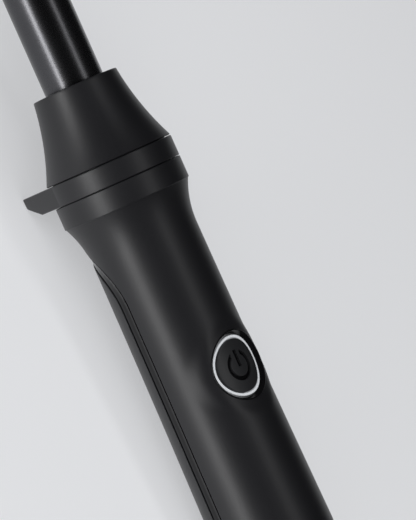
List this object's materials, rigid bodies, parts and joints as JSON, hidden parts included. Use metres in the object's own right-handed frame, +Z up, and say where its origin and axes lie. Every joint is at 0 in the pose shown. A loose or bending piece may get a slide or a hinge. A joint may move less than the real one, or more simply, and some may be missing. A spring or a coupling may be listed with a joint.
{
  "type": "curling iron",
  "caption": "Clampless curling iron with a round heated barrel, flared nose, stand foot, grip handle with a lit power button, and a swivel cord inlet.",
  "frame": {"origin": "centre of the stand foot's rest face, on the surface the iron lies on", "axes": "+X along the iron towards the barrel's tip, +Y to the side, +Z up; the power button faces up and the foot points down"},
  "size_m": [0.3656, 0.0544, 0.0668],
  "materials": {
    "soft_touch_black": "soft-touch matte charcoal",
    "piano_black": "glossy black trim",
    "barrel_coating": "aluminium tube with a satin black ceramic coating",
    "button_grey": "matte dark grey",
    "light_guide": "frosted white light guide, lit",
    "tip_black": "heat-resistant matte black",
    "heatproof_grey": "glass-filled heat-resistant plastic",
    "mica": "pressed mica",
    "ceramic_white": "unglazed",
    "bare_aluminium": "extruded, bare",
    "glass_bead": "sealed bead",
    "steel": "zinc-plated screws and clips",
    "fuse_case": "tinned case",
    "lead_sleeve": "silicone-glass sleeving",
    "board_green": "coated circuit board",
    "component_black": "moulded components",
    "capacitor_sleeve": "shrink sleeve",
    "led_white": "lamp lens",
    "gland_black": "nylon",
    "slip_brass": "polished",
    "brush_bronze": "bronze"
  },
  "bodies": {
    "handle": {"barrel_mount": "heatproof_grey", "barrel_tube": "barrel_coating", "board_screws": "steel", "brush_contacts": "brush_bronze", "brush_holder": "heatproof_grey", "button_bezel": "piano_black", "capacitor": "capacitor_sleeve", "collar_base": "soft_touch_black", "control_board": "board_green", "controller_chip": "component_black", "cover_screws": "steel", "front_shell": "soft_touch_black", "heat_spreader_front": "bare_aluminium", "heat_spreader_rear": "bare_aluminium", "heater_core": "ceramic_white", "heater_leads": "lead_sleeve", "indicator_leds": "led_white", "light_ring": "light_guide", "mica_washer": "mica", "mount_screws": "steel", "nose_cone": "soft_touch_black", "rear_cover": "soft_touch_black", "side_trim": "piano_black", "stand_ring": "soft_touch_black", "supply_leads": "lead_sleeve", "tact_switch": "steel", "tail_cap": "soft_touch_black", "thermal_fuse": "fuse_case", "thermistor": "glass_bead", "tip_cap": "tip_black", "tip_insulator": "tip_black", "triac": "component_black"},
    "button": {"power_button": "button_grey", "switch_plunger": "button_grey"},
    "cord_swivel": {"swivel_gland": "gland_black", "swivel_retainer": "steel", "slip_rings": "slip_brass"}
  },
  "joints": [
    {"name": "button_press", "type": "slide", "parent": "handle", "child": "button", "axis": [0.0896, 0, -0.996], "range_m": [0, 0.0008], "stiffness_N_per_m": 900, "springref_m": -0.001},
    {"name": "cord_swivel_turn", "type": "hinge", "parent": "handle", "child": "cord_swivel", "pos_m": [-0.17559, 0, 0.02376], "axis": [0.996, 0, 0.0896], "continuous": true}
  ]
}
